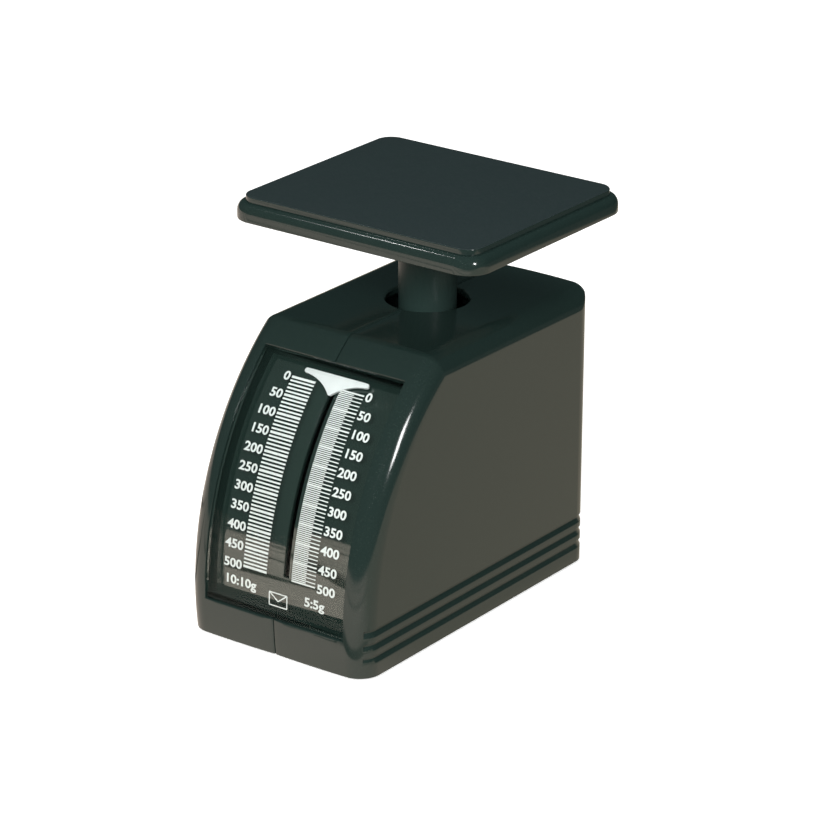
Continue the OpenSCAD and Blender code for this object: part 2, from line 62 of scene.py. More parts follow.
# ---- Places taken from the frame ----
shell_low, shell_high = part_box("housing_right")
HALF_W = shell_high.x
LOW_Z = shell_low.z
TOP_Z = shell_high.z
FRONT_Y = shell_low.y
BACK_Y = shell_high.y
PIVOT_Y, PIVOT_Z = JOINTS["weigh"]["pos_m"][1:]
POST_Y = JOINTS["post_pivot"]["pos_m"][1]
FRONT_R = PIVOT_Y - FRONT_Y
SWING = math.radians(JOINTS["weigh"]["range_deg"][1])
tray_low, tray_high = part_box("weighing_tray")
pane_low, pane_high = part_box("window_pane")
wheel_low, wheel_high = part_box("zero_wheel")

# ---- Housing form ----
WALL = 2.2 * MM
EDGE_R = 8 * MM
FOLD_R = 5 * MM
BACK_R = 3.5 * MM
SEAM_GAP = 0.05 * MM
SEAM_ROUND = 0.8 * MM
CROWN = 0.25 * MM
WINDOW_LIP = 0.8 * MM
HOLE_R = 14.5 * MM
BOSS_R = 4.6 * MM
SCREW_ENTRY_R = 3.1 * MM
SCREW_BORE_R = 1.55 * MM
SCREW_SEAT_X = 12 * MM
GROOVE_HEIGHTS = [4.9 * MM, 9.7 * MM, 14.5 * MM]
GROOVE_W = 2.8 * MM
GROOVE_DEPTH = 0.9 * MM
GROOVE_START = 3.1 * MM
BOSS_PLACES = [(-12 * MM, 91 * MM), (52 * MM, 91 * MM)]

# ---- Window, dial and print, as radii and angles about the pivot ----
WINDOW_HALF = 29 * MM
WINDOW_TOP = math.radians(46.2)
WINDOW_LOW = math.radians(-1)
PANE_FRONT_R = FRONT_R - 0.9 * MM
PANE_BACK_R = FRONT_R - 3 * MM
DIAL_R = FRONT_R - 7 * MM
DIAL_T = 1.5 * MM
DIAL_WALL = 1.4 * MM
SLOT_HALF = 1.1 * MM
PRINT_R = PANE_BACK_R - 0.04 * MM
INK_T = 0.03 * MM
ZERO_MARK = math.radians(42.13)
FULL_MARK = ZERO_MARK - SWING
POINTER_ANGLE = math.radians(44)
POINTER_R = DIAL_R + 0.6 * MM
POINTER_T = 0.94 * MM


# ---- Small mesh helpers ----
def add_object(name, verts, faces):
    """A mesh object with consistent outward normals."""
    mesh = bpy.data.meshes.new(name)
    mesh.from_pydata([tuple(v) for v in verts], [], faces)
    work = bmesh.new()
    work.from_mesh(mesh)
    bmesh.ops.recalc_face_normals(work, faces=work.faces)
    work.to_mesh(mesh)
    work.free()
    obj = bpy.data.objects.new(name, mesh)
    bpy.context.scene.collection.objects.link(obj)
    return obj


def loft(name, rings):
    """A skin through closed rings of equally many points, with flat ends."""
    count = len(rings[0])
    verts = [point for ring in rings for point in ring]
    faces = []
    for i in range(len(rings) - 1):
        for j in range(count):
            k = (j + 1) % count
            faces.append((i * count + j, i * count + k, (i + 1) * count + k, (i + 1) * count + j))
    last = (len(rings) - 1) * count
    faces.append(tuple(range(count - 1, -1, -1)))
    faces.append(tuple(last + j for j in range(count)))
    return add_object(name, verts, faces)


def keep_modified(obj):
    """Replaces the object's mesh by what its modifiers make of it."""
    bpy.context.view_layer.update()
    depsgraph = bpy.context.evaluated_depsgraph_get()
    mesh = bpy.data.meshes.new_from_object(obj.evaluated_get(depsgraph))
    obj.modifiers.clear()
    obj.data = mesh
    return obj


def combine(obj, *others, how="DIFFERENCE"):
    """Cuts the others out of the object, or adds them to it, and removes them."""
    for other in others:
        modifier = obj.modifiers.new("combine", "BOOLEAN")
        modifier.object = other
        modifier.operation = how
        modifier.solver = "EXACT"
    keep_modified(obj)
    for other in others:
        bpy.data.objects.remove(other)
    return obj


def join(name, objects):
    """Several objects as one mesh object."""
    work = bmesh.new()
    for obj in objects:
        copy = obj.data.copy()
        copy.transform(obj.matrix_world)
        work.from_mesh(copy)
    mesh = bpy.data.meshes.new(name)
    work.to_mesh(mesh)
    work.free()
    for obj in objects:
        bpy.data.objects.remove(obj)
    joined = bpy.data.objects.new(name, mesh)
    bpy.context.scene.collection.objects.link(joined)
    return joined


def soften(obj, width, angle=35):
    """Small rounded edges where faces meet at more than the angle, in degrees."""
    modifier = obj.modifiers.new("soften", "BEVEL")
    modifier.width = width
    modifier.segments = 3
    modifier.limit_method = "ANGLE"
    modifier.angle_limit = math.radians(angle)
    return keep_modified(obj)


def smooth(obj, angle=32):
    """Smooth shading, kept sharp where faces meet at more than the angle, in degrees."""
    for polygon in obj.data.polygons:
        polygon.use_smooth = True
    obj.data.set_sharp_from_angle(angle=math.radians(angle))
    return obj


def box(name, low, high):
    """A closed box between two corners."""
    xs, ys, zs = zip(low, high)
    rings = [[(xs[0], ys[0], z), (xs[1], ys[0], z), (xs[1], ys[1], z), (xs[0], ys[1], z)] for z in zs]
    return loft(name, rings)


def circle(radius, steps):
    """Points round a circle about the origin."""
    return [(radius * math.cos(2 * math.pi * i / steps), radius * math.sin(2 * math.pi * i / steps))
            for i in range(steps)]


def upright(name, y, stations):
    """A turned form about a vertical axis on the middle plane, from (z, radius) stations."""
    return loft(name, [[(px, y + py, z) for px, py in circle(r, 96)] for z, r in stations])


def rod_x(name, y, z, radius, x0, x1):
    """A cylinder along X."""
    return loft(name, [[(x, y + py, z + pz) for py, pz in circle(radius, 48)] for x in (x0, x1)])


def on_arc(angle, radius, x=0.0):
    """A point on the cylinder about the lever pivot; the angle is above the level towards the front."""
    return Vector((x, PIVOT_Y - radius * math.cos(angle), PIVOT_Z + radius * math.sin(angle)))


def arc_block(name, r0, r1, x0, x1, a0, a1, steps=72):
    """A block of the cylinder about the pivot, between two radii, two x and two angles."""
    rings = []
    for i in range(steps + 1):
        a = a0 + (a1 - a0) * i / steps
        rings.append([on_arc(a, r0, x0), on_arc(a, r0, x1), on_arc(a, r1, x1), on_arc(a, r1, x0)])
    return loft(name, rings)


def window_ring(radius, flare):
    """The window's outline at a radius, widened on all sides by the flare."""
    steps = 72
    low, high = WINDOW_LOW - flare / FRONT_R, WINDOW_TOP + flare / FRONT_R
    half = WINDOW_HALF + flare
    side = [low + (high - low) * i / steps for i in range(steps + 1)]
    return [on_arc(a, radius, half) for a in side] + [on_arc(a, radius, -half) for a in reversed(side)]


def window_cutter():
    """What the window opening takes away from the front, with rounded lips all round."""
    far_in, far_out = DIAL_R - 8 * MM, 2 * FRONT_R
    lip_sweep, lip_steps = math.radians(80), 7
    levels = [(far_in, 0), (FRONT_R - WINDOW_LIP, 0)]
    for i in range(1, lip_steps + 1):
        p = lip_sweep * i / lip_steps
        levels.append((FRONT_R - WINDOW_LIP * (1 - math.sin(p)), WINDOW_LIP * (1 - math.cos(p))))
    levels.append((far_out, 2 * WINDOW_LIP))
    return loft("window", [window_ring(radius, flare) for radius, flare in levels])


def rounded_rect(half_x, half_y, radius, centre_y, z, steps=10):
    """A level ring with four round corners."""
    ring = []
    for quarter, (sx, sy) in enumerate([(1, 1), (-1, 1), (-1, -1), (1, -1)]):
        for i in range(steps + 1):
            a = math.pi / 2 * (quarter + i / steps)
            ring.append((sx * (half_x - radius) + radius * math.cos(a),
                         centre_y + sy * (half_y - radius) + radius * math.sin(a), z))
    return ring


# ---- Housing ----
def side_outline(inset, low_z):
    """The housing's outline seen from the side, pushed in, as (y, z) from the foot round to the back."""
    arc_steps, corner_steps = 96, 12
    radius = FRONT_R - inset
    least_r = 1 * MM
    fold = max(FOLD_R - inset, least_r)
    back = max(BACK_R - inset, least_r)
    top = TOP_Z - inset
    a0 = math.asin((low_z - PIVOT_Z) / radius)
    a1 = math.asin((top - fold - PIVOT_Z) / (radius - fold))
    fold_y = PIVOT_Y - (radius - fold) * math.cos(a1)
    points = []
    for i in range(arc_steps + 1):
        a = a0 + (a1 - a0) * i / arc_steps
        points.append((PIVOT_Y - radius * math.cos(a), PIVOT_Z + radius * math.sin(a)))
    for i in range(1, corner_steps + 1):
        a = a1 + (math.pi / 2 - a1) * i / corner_steps
        points.append((fold_y - fold * math.cos(a), top - fold + fold * math.sin(a)))
    for i in range(corner_steps + 1):
        a = math.pi / 2 * (1 - i / corner_steps)
        points.append((BACK_Y - inset - back + back * math.cos(a), top - back + back * math.sin(a)))
    points.append((BACK_Y - inset, low_z))
    return points


def housing_solid(name, side, inset, inner_x, low_z):
    """Half of the housing's outer form, or of its hollow when pushed in by the wall."""
    edge = EDGE_R - inset
    middle = (HALF_W - EDGE_R) / 2
    # Each ring as (x, how far its outline is pushed in), from the seam out to the side
    stations = [(inner_x, inset)]
    if inset == 0:
        stations = [(SEAM_GAP + SEAM_ROUND * (1 - math.cos(p)), SEAM_ROUND * (1 - math.sin(p)) + CROWN)
                    for p in [math.pi / 2 * i / 5 for i in range(6)]]
        stations += [(middle + middle * i / 6, CROWN * (i / 6) ** 2) for i in range(-5, 6)]
    edge_steps = 20
    for i in range(edge_steps + 1):
        p = math.pi / 2 * i / edge_steps
        stations.append((HALF_W - inset - edge + edge * math.sin(p),
                         inset + edge * (1 - math.cos(p)) + (CROWN if inset == 0 else 0)))
    rings = [[(side * x, y, z) for y, z in side_outline(m, low_z)] for x, m in stations]
    return loft(name, rings)


def groove_cutter(side, height):
    """What one groove takes away: steep on top and sloping out below, outside a rounded core."""
    # Each level of the core as (share of the groove's width, share of its depth), from below
    profile = [(-0.4, -0.5), (-0.05, 0), (0.05, 0.12), (0.6, 0.9), (0.72, 1.0), (0.84, 0.96), (0.93, 0.6),
               (0.98, 0.2), (1.06, 0), (1.4, -0.5)]
    centre_y = (FRONT_Y + BACK_Y) / 2
    low, high = LOW_Z + height, LOW_Z + height + GROOVE_W
    beyond = 0.3 * MM
    block = box("groove", (min(0, side * (HALF_W + WALL)), FRONT_Y + GROOVE_START, low - beyond),
                (max(0, side * (HALF_W + WALL)), BACK_Y + WALL, high + beyond))
    rings = []
    for share, deep in profile:
        depth = deep * GROOVE_DEPTH
        rings.append(rounded_rect(HALF_W - depth, (BACK_Y - FRONT_Y) / 2 - depth, EDGE_R - depth,
                                  centre_y, low + share * GROOVE_W))
    return combine(block, loft("core", rings))


def make_shell(name, side):
    """One shell of the housing: side is 1 for the right and -1 for the left."""
    shell = housing_solid(name, side, 0, 0, LOW_Z)
    combine(shell, housing_solid("hollow", side, WALL, -1 * MM, LOW_Z - 1 * MM))
    bosses = []
    for y, z in BOSS_PLACES:
        ends = sorted((side * SEAM_GAP, side * (HALF_W - WALL / 2)))
        bosses.append(rod_x("boss", y, z, BOSS_R, *ends))
    combine(shell, *bosses, how="UNION")
    chamfer, beyond = 0.5 * MM, 1 * MM
    hole = upright("hole", POST_Y, [(TOP_Z - 10 * MM, HOLE_R), (TOP_Z - chamfer, HOLE_R),
                                    (TOP_Z + beyond, HOLE_R + chamfer + beyond)])
    slot_gap = 0.9 * MM
    slot = box("slot", (wheel_low.x, wheel_low.y, wheel_low.z - slot_gap),
               (wheel_high.x, BACK_Y + 5 * MM, wheel_high.z + slot_gap))
    cutters = [window_cutter(), hole, slot]
    if side < 0:
        for y, z in BOSS_PLACES:
            cutters.append(rod_x("entry", y, z, SCREW_ENTRY_R, -HALF_W - beyond, -SCREW_SEAT_X))
            cutters.append(rod_x("bore", y, z, SCREW_BORE_R, -SCREW_SEAT_X - 0.5 * MM, beyond))
    cutters += [groove_cutter(side, height) for height in GROOVE_HEIGHTS]
    combine(shell, *cutters)
    return smooth(shell)


# ---- Window, dial and print ----
def make_pane():
    """The clear curved window: a raised panel on a thin flange."""
    gap = 0.15 * MM
    lap = pane_high.x
    over = (lap - WINDOW_HALF) / FRONT_R
    panel = arc_block("pane", PANE_BACK_R, PANE_FRONT_R, -WINDOW_HALF + gap, WINDOW_HALF - gap,
                      WINDOW_LOW + gap / FRONT_R, WINDOW_TOP - gap / FRONT_R)
    flange = arc_block("flange", PANE_BACK_R, FRONT_R - WALL - 0.05 * MM, -lap, lap,
                       WINDOW_LOW - over, WINDOW_TOP + over)
    combine(panel, flange, how="UNION")
    soften(panel, 0.18 * MM)
    return smooth(panel)


def make_dial():
    """The curved black tray behind the pane, open towards it, with the pointer's slot."""
    rim = PANE_BACK_R - 0.06 * MM
    end = math.radians(0.7)
    slot_below, slot_above = math.radians(2.6), math.radians(1.6)
    half = WINDOW_HALF + 0.2 * MM
    dial = arc_block("dial", DIAL_R - DIAL_T, rim, -half - DIAL_WALL, half + DIAL_WALL,
                     WINDOW_LOW - end, WINDOW_TOP + end)
    pocket = arc_block("pocket", DIAL_R, rim + 1 * MM, -half, half, WINDOW_LOW, WINDOW_TOP)
    slot = arc_block("slot", DIAL_R - 4 * MM, DIAL_R + 1 * MM, -SLOT_HALF, SLOT_HALF,
                     POINTER_ANGLE - SWING - slot_below, POINTER_ANGLE + slot_above)
    combine(dial, pocket, slot)
    soften(dial, 0.25 * MM)
    return smooth(dial)


def wrap_on_dial(points, angle, x):
    """Carries flat (u, v, w) points onto the print's cylinder, with v up the arc and w outward."""
    return [on_arc(angle + v / PRINT_R, PRINT_R + w, x + u) for u, v, w in points]


def tick(angle, x0, x1, height):
    """One printed line as a thin plate."""
    low, high = angle - height / 2 / PRINT_R, angle + height / 2 / PRINT_R
    return arc_block("tick", PRINT_R - INK_T, PRINT_R, x0, x1, low, high, steps=1)


def label(text, height, angle, x, align):
    """Printed characters, bent onto the print's cylinder and centred on the angle."""
    cap_height, extra_weight, stretch = 0.7, 0.027, 1.16
    curve = bpy.data.curves.new("label", "FONT")
    curve.body = text
    curve.align_x = align
    curve.offset = extra_weight
    curve.resolution_u = 3
    obj = bpy.data.objects.new("label", curve)
    bpy.context.scene.collection.objects.link(obj)
    bpy.context.view_layer.update()
    flat = bpy.data.meshes.new_from_object(obj.evaluated_get(bpy.context.evaluated_depsgraph_get()))
    bpy.data.objects.remove(obj)
    scale = height / cap_height
    middle = cap_height / 2
    points = [(v.co.x * scale * stretch, (v.co.y - middle) * scale, 0) for v in flat.vertices]
    flat_faces = [tuple(p.vertices) for p in flat.polygons]
    sheet = add_object("label", wrap_on_dial(points, angle, x), flat_faces)
    thicken = sheet.modifiers.new("ink", "SOLIDIFY")
    thicken.thickness = INK_T
    thicken.offset = 0
    return keep_modified(sheet)


def stroke_corners(strokes, width):
    """The four (u, v) corners of a thin plate along each straight stroke."""
    plates = []
    for (u0, v0), (u1, v1) in strokes:
        length = math.hypot(u1 - u0, v1 - v0)
        nu, nv = (v0 - v1) / length * width / 2, (u1 - u0) / length * width / 2
        plates.append([(u0 - nu, v0 - nv), (u1 - nu, v1 - nv), (u1 + nu, v1 + nv), (u0 + nu, v0 + nv)])
    return plates


def envelope_mark(angle):
    """A plain little envelope, drawn in lines below the columns."""
    half_w, half_h, line = 3.7 * MM, 2.3 * MM, 0.42 * MM
    lower_left, lower_right = (-half_w, -half_h), (half_w, -half_h)
    upper_left, upper_right = (-half_w, half_h), (half_w, half_h)
    flap_tip = (0, -0.2 * half_h)
    strokes = [(lower_left, lower_right), (lower_right, upper_right), (upper_right, upper_left),
               (upper_left, lower_left), (upper_left, flap_tip), (flap_tip, upper_right)]
    plates = []
    for corners in stroke_corners(strokes, line):
        rings = [wrap_on_dial([(u, v, w) for u, v in corners], angle, 0) for w in (-INK_T, 0)]
        plates.append(loft("stroke", rings))
    return plates


def make_print():
    """Both graduated columns: 10 g steps on the left, and 5 g steps on the right."""
    inner_x, outer_x = 5.24 * MM, 15.06 * MM
    fine_x = inner_x + 0.6 * (outer_x - inner_x)
    thin, bold = 0.62 * MM, 0.85 * MM
    fine, fine_bold = 0.36 * MM, 0.55 * MM
    figure_h = 3.05 * MM
    figure_gap = 0.7 * MM
    marks = []
    for step in range(101):
        grams = 5 * step
        angle = ZERO_MARK + (FULL_MARK - ZERO_MARK) * step / 100
        whole = grams % 50 == 0
        if grams % 10 == 0:
            marks.append(tick(angle, -outer_x, -inner_x, bold if whole else thin))
            marks.append(tick(angle, inner_x, outer_x, fine_bold if whole else fine))
        else:
            marks.append(tick(angle, inner_x, fine_x, fine))
        if whole:
            marks.append(label(str(grams), figure_h, angle, -outer_x - figure_gap, "RIGHT"))
            marks.append(label(str(grams), figure_h, angle, outer_x + figure_gap, "LEFT"))
    below = FULL_MARK - math.radians(3.1)
    marks.append(label("10:10g", figure_h, below, -outer_x - 1 * MM, "CENTER"))
    marks.append(label("5:5g", figure_h, below, outer_x, "CENTER"))
    marks += envelope_mark(below - math.radians(1.4))
    return join("dial_print", marks)


def pointer_outline():
    """Half of the white anchor: a straight bar with a round end, and a concave flank to the tip."""
    bar_half, bar_h, tip_h, tip_half = 13.25 * MM, 1.8 * MM, 7.3 * MM, 0.45 * MM
    end_steps, flank_steps = 8, 24
    rise = tip_h - bar_h
    reach = bar_half - tip_half
    flank_r = (reach ** 2 + rise ** 2) / (2 * rise)
    sweep = math.asin(reach / flank_r)
    points = [(0, bar_h)]
    for i in range(end_steps + 1):
        a = math.pi / 2 - math.pi * i / end_steps
        points.append((bar_half - bar_h / 2 + bar_h / 2 * math.cos(a), bar_h / 2 + bar_h / 2 * math.sin(a)))
    for i in range(1, flank_steps + 1):
        a = sweep * i / flank_steps
        points.append((bar_half - flank_r * math.sin(a), -flank_r + flank_r * math.cos(a)))
    points.append((0, -rise))
    return points


def make_pointer():
    """The anchor-shaped pointer head, curved a little with the dial."""
    half = pointer_outline()
    ring = half + [(-u, v) for u, v in reversed(half[1:-1])]
    rings = [[on_arc(POINTER_ANGLE + v / POINTER_R, r, u) for u, v in ring]
             for r in (POINTER_R, POINTER_R + POINTER_T)]
    pointer = loft("pointer", rings)
    soften(pointer, 0.14 * MM, 40)
    return smooth(pointer, 40)


# ---- Tray ----
def make_tray():
    """The weighing tray: a raised flat top, a rounded shoulder, a skirt and a ribbed underside."""
    corner, step, step_h, shoulder_h = 9 * MM, 3 * MM, 2 * MM, 3.6 * MM
    shoulder_sweep = math.radians(84)
    lip, wall, foot_r, inner_r = 0.35 * MM, 2 * MM, 0.4 * MM, 1.5 * MM
    hub_r, rib_half, rib_from, rib_to = 17 * MM, 0.8 * MM, 15 * MM, 3 * MM
    rib_sunk = 0.4 * MM
    half_x = tray_high.x
    half_y = (tray_high.y - tray_low.y) / 2
    centre_y = (tray_high.y + tray_low.y) / 2
    top, low = tray_high.z, tray_low.z
    shoulder_z = top - step_h
    ceiling = top - 2.2 * MM

    def ring(inset, z):
        return rounded_rect(half_x - inset, half_y - inset, corner - inset, centre_y, z, steps=16)

    rings = [ring(wall + 5 * MM, ceiling), ring(wall + inner_r, ceiling)]
    for i in range(1, 7):
        a = math.pi / 2 * i / 6
        rings.append(ring(wall + inner_r * (1 - math.sin(a)), ceiling - inner_r * (1 - math.cos(a))))
    rings += [ring(wall, low + 0.3 * MM), ring(wall - 0.3 * MM, low), ring(foot_r, low)]
    for i in range(1, 5):
        a = math.pi / 2 * i / 4
        rings.append(ring(foot_r * (1 - math.sin(a)), low + foot_r * (1 - math.cos(a))))
    for i in range(25):
        a = shoulder_sweep * i / 24
        rings.append(ring(step * (1 - math.cos(a)), shoulder_z - shoulder_h * (1 - math.sin(a))))
    rings.append(ring(step, shoulder_z))
    for i in range(7):
        a = math.pi / 2 * i / 6
        rings.append(ring(step + lip * (1 - math.cos(a)), top - lip * (1 - math.sin(a))))
    tray = loft("tray", rings)
    ribs = [upright("hub", centre_y, [(low + 1.32 * MM, 16.6 * MM), (low + 1.72 * MM, hub_r),
                                      (ceiling + rib_sunk, hub_r)])]
    for dx, dy in [(1, 0), (0, 1), (-1, 0), (0, -1)]:
        end_x = dx * (half_x - rib_to) + rib_half * abs(dy)
        end_y = dy * (half_y - rib_to) + rib_half * abs(dx)
        start_x = dx * rib_from - rib_half * abs(dy)
        start_y = dy * rib_from - rib_half * abs(dx)
        lower = (min(start_x, end_x), centre_y + min(start_y, end_y), low + 2 * MM)
        upper = (max(start_x, end_x), centre_y + max(start_y, end_y), ceiling + rib_sunk)
        ribs.append(box("rib", lower, upper))
    combine(tray, *ribs, how="UNION")
    return smooth(tray, 40)


# ---- Spring ----
def wire(name, path, radius):
    """A round wire that follows the points, turned along with them."""
    sides = 12
    rings = []
    normal = Vector((0, 0, 1)).cross(path[1] - path[0])
    if normal.length < 1e-9:
        normal = Vector((1, 0, 0))
    for i, point in enumerate(path):
        along = (path[min(i + 1, len(path) - 1)] - path[max(i - 1, 0)]).normalized()
        normal = (normal - along * normal.dot(along)).normalized()
        across = along.cross(normal)
        rings.append([point + radius * (normal * math.cos(2 * math.pi * k / sides)
                                        + across * math.sin(2 * math.pi * k / sides)) for k in range(sides)])
    return loft(name, rings)


def make_spring():
    """The extension spring: a lower and an upper half that meet in mid-coil, and the heights of the joins."""
    low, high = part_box("tension_spring")
    wire_r, coil_r, turns, steps = 0.45 * MM, 3.4 * MM, 18, 24
    axis_y = (low.y + high.y) / 2
    coil_low, coil_high = 44 * MM, high.z - 6.6 * MM
    count = turns * steps

    def hook(coil_z, tip_z, sense):
        loop_r = abs(tip_z - coil_z) / 2
        middle = (coil_z + tip_z) / 2
        angles = [math.radians(-60 + 300 * i / 18) for i in range(19)]
        return [Vector((0, axis_y + sense * loop_r * math.sin(a), middle - sense * loop_r * math.cos(a)))
                for a in angles]

    def coil(i):
        a = 2 * math.pi * i / steps
        r = coil_r * min(1, i / 12, (count - i) / 12)
        z = coil_low + (coil_high - coil_low) * i / count
        return Vector((r * math.cos(a), axis_y + r * math.sin(a), z))

    foot = hook(coil_low, low.z + wire_r, -1)
    head = hook(coil_high, high.z - wire_r, 1)
    lower = wire("spring_lower", foot[::-1] + [coil(i) for i in range(count // 2 + 1)], wire_r)
    upper = wire("spring_upper", [coil(i) for i in range(count // 2, count + 1)] + head, wire_r)
    joins = [(0, axis_y, z) for z in (coil_low, (coil_low + coil_high) / 2, coil_high)]
    return smooth(lower, 60), smooth(upper, 60), joins


# ---- Materials ----
class Finish:
    """A procedural material with a Principled shader and object coordinates."""

    def __init__(self, name, colour, roughness, **sockets):
        self.material = bpy.data.materials.new(name)
        self.material.use_nodes = True
        self.nodes = self.material.node_tree.nodes
        self.links = self.material.node_tree.links
        self.shader = self.nodes["Principled BSDF"]
        self.shader.inputs["Base Color"].default_value = (*colour, 1)
        self.shader.inputs["Roughness"].default_value = roughness
        for socket, value in sockets.items():
            self.shader.inputs[socket.replace("_", " ")].default_value = value
        self.place = self.nodes.new("ShaderNodeTexCoord").outputs["Object"]
        self.colour = colour
        self.bump = None

    def noise(self, scale, detail, stretch=(1, 1, 1)):
        """A noise field; scale is in features per metre."""
        mapping = self.nodes.new("ShaderNodeMapping")
        mapping.inputs["Scale"].default_value = stretch
        self.links.new(self.place, mapping.inputs["Vector"])
        node = self.nodes.new("ShaderNodeTexNoise")
        node.inputs["Scale"].default_value = scale
        node.inputs["Detail"].default_value = detail
        node.inputs["Roughness"].default_value = 0.55
        self.links.new(mapping.outputs["Vector"], node.inputs["Vector"])
        return node.outputs["Fac"]

    def remap(self, value, low, high, start=0.3, end=0.7):
        """Carries a field from start..end to low..high."""
        node = self.nodes.new("ShaderNodeMapRange")
        for socket, number in zip(("From Min", "From Max", "To Min", "To Max"), (start, end, low, high)):
            node.inputs[socket].default_value = number
        self.links.new(value, node.inputs["Value"])
        return node.outputs["Result"]

    def vary_roughness(self, field, low, high):
        """Spreads the roughness between two values by a field."""
        self.links.new(self.remap(field, low, high), self.shader.inputs["Roughness"])
        return self

    def vary_colour(self, field, other, start=0.35, end=0.65):
        """Mixes the base colour with another one by a field."""
        node = self.nodes.new("ShaderNodeMix")
        node.data_type = "RGBA"
        colour_inputs = [s for s in node.inputs if s.type == "RGBA"]
        colour_inputs[0].default_value = (*self.colour, 1)
        colour_inputs[1].default_value = (*other, 1)
        self.links.new(self.remap(field, 0, 1, start, end), node.inputs["Factor"])
        colour_output = [s for s in node.outputs if s.type == "RGBA"][0]
        self.links.new(colour_output, self.shader.inputs["Base Color"])
        return self

    def relief(self, field, depth):
        """Adds a bump; depth is in metres."""
        node = self.nodes.new("ShaderNodeBump")
        node.inputs["Distance"].default_value = depth
        self.links.new(field, node.inputs["Height"])
        if self.bump is not None:
            self.links.new(self.bump, node.inputs["Normal"])
        self.bump = node.outputs["Normal"]
        self.links.new(self.bump, self.shader.inputs["Normal"])
        return self


def gloss_black():
    """Moulded gloss polystyrene with a faint mould waviness, handling haze and fine scratches."""
    finish = Finish("gloss_black", (0.0105, 0.021, 0.0185), 0.09, IOR=1.6)
    finish.vary_roughness(finish.noise(55, 4), 0.07, 0.15)
    finish.vary_colour(finish.noise(1400, 2), (0.014, 0.0255, 0.022), 0.5, 0.75)
    finish.relief(finish.noise(90, 2), 0.00002)
    finish.relief(finish.noise(2600, 2), 0.0000015)
    return finish.material


def dial_black():
    """The dial's polished backing, glossier than the housing, with a base lighter than the housing's: painted
    light that lifts the shade in the recess behind the pane and stands in for weaker room reflection.
    """
    finish = Finish("dial_black", (0.014, 0.027, 0.023), 0.04, IOR=2.1)
    finish.vary_roughness(finish.noise(80, 4), 0.03, 0.06)
    return finish.material


def tray_satin():
    """The finely grained flat top of the tray."""
    finish = Finish("tray_satin", (0.017, 0.026, 0.027), 0.34, IOR=1.5)
    finish.vary_roughness(finish.noise(70, 5), 0.30, 0.42)
    finish.vary_colour(finish.noise(2200, 2), (0.025, 0.034, 0.035), 0.45, 0.75)
    finish.relief(finish.noise(3200, 2), 0.000012)
    return finish.material


def post_satin():
    """The satin column between the mechanism and the tray, in a lighter copy of the housing's dark green: painted
    light that lifts the shade under the tray.
    """
    finish = Finish("post_satin", (0.018, 0.034, 0.030), 0.42, IOR=1.35)
    finish.vary_roughness(finish.noise(120, 3), 0.36, 0.5)
    finish.relief(finish.noise(1800, 2), 0.000003)
    return finish.material


def base_black():
    """Matte moulded plastic with a spark-eroded grain."""
    finish = Finish("base_black", (0.016, 0.018, 0.018), 0.5)
    finish.vary_roughness(finish.noise(160, 4), 0.42, 0.62)
    finish.relief(finish.noise(2400, 3), 0.00002)
    return finish.material


def rubber_black():
    """Dull rubber with a dusty bloom."""
    finish = Finish("rubber_black", (0.014, 0.014, 0.014), 0.78)
    finish.vary_colour(finish.noise(500, 4), (0.03, 0.03, 0.028))
    finish.relief(finish.noise(1800, 4), 0.00003)
    return finish.material


def metal(name, colour, roughness, grain_stretch, grain_depth=0.000004):
    """Bare metal with a directional grain and slightly uneven tarnish."""
    finish = Finish(name, colour, roughness, Metallic=1.0)
    darker = tuple(0.72 * c for c in colour)
    finish.vary_colour(finish.noise(220, 5), darker)
    finish.vary_roughness(finish.noise(420, 4), 0.75 * roughness, 1.3 * roughness)
    finish.relief(finish.noise(1500, 3, stretch=grain_stretch), grain_depth)
    return finish.material


def white_plastic(name, colour, roughness):
    """Moulded white plastic, a little uneven in colour and sheen."""
    finish = Finish(name, colour, roughness)
    finish.vary_colour(finish.noise(260, 4), tuple(0.93 * c for c in colour))
    finish.vary_roughness(finish.noise(700, 3), 0.8 * roughness, 1.2 * roughness)
    finish.relief(finish.noise(1300, 2), 0.000004)
    return finish.material


def ink_white():
    """Screen-printed ink: nearly white, with slightly uneven cover."""
    finish = Finish("ink_white", (0.80, 0.82, 0.81), 0.5)
    finish.vary_colour(finish.noise(3000, 3), (0.64, 0.66, 0.65), 0.4, 0.8)
    return finish.material


def clear_pane():
    """Thin clear acrylic: what is behind shows through, under a sharp, weak surface reflection."""
    material = bpy.data.materials.new("clear_pane")
    material.use_nodes = True
    nodes, links = material.node_tree.nodes, material.node_tree.links
    nodes.clear()
    out = nodes.new("ShaderNodeOutputMaterial")
    clear = nodes.new("ShaderNodeBsdfTransparent")
    clear.inputs["Color"].default_value = (0.97, 0.985, 0.98, 1)
    shine = nodes.new("ShaderNodeBsdfGlossy")
    shine.inputs["Color"].default_value = (1, 1, 1, 1)
    shine.inputs["Roughness"].default_value = 0.03
    fresnel = nodes.new("ShaderNodeFresnel")
    fresnel.inputs["IOR"].default_value = 1.15
    mix = nodes.new("ShaderNodeMixShader")
    links.new(fresnel.outputs["Fac"], mix.inputs["Fac"])
    links.new(clear.outputs["BSDF"], mix.inputs[1])
    links.new(shine.outputs["BSDF"], mix.inputs[2])
    links.new(mix.outputs["Shader"], out.inputs["Surface"])
    return material


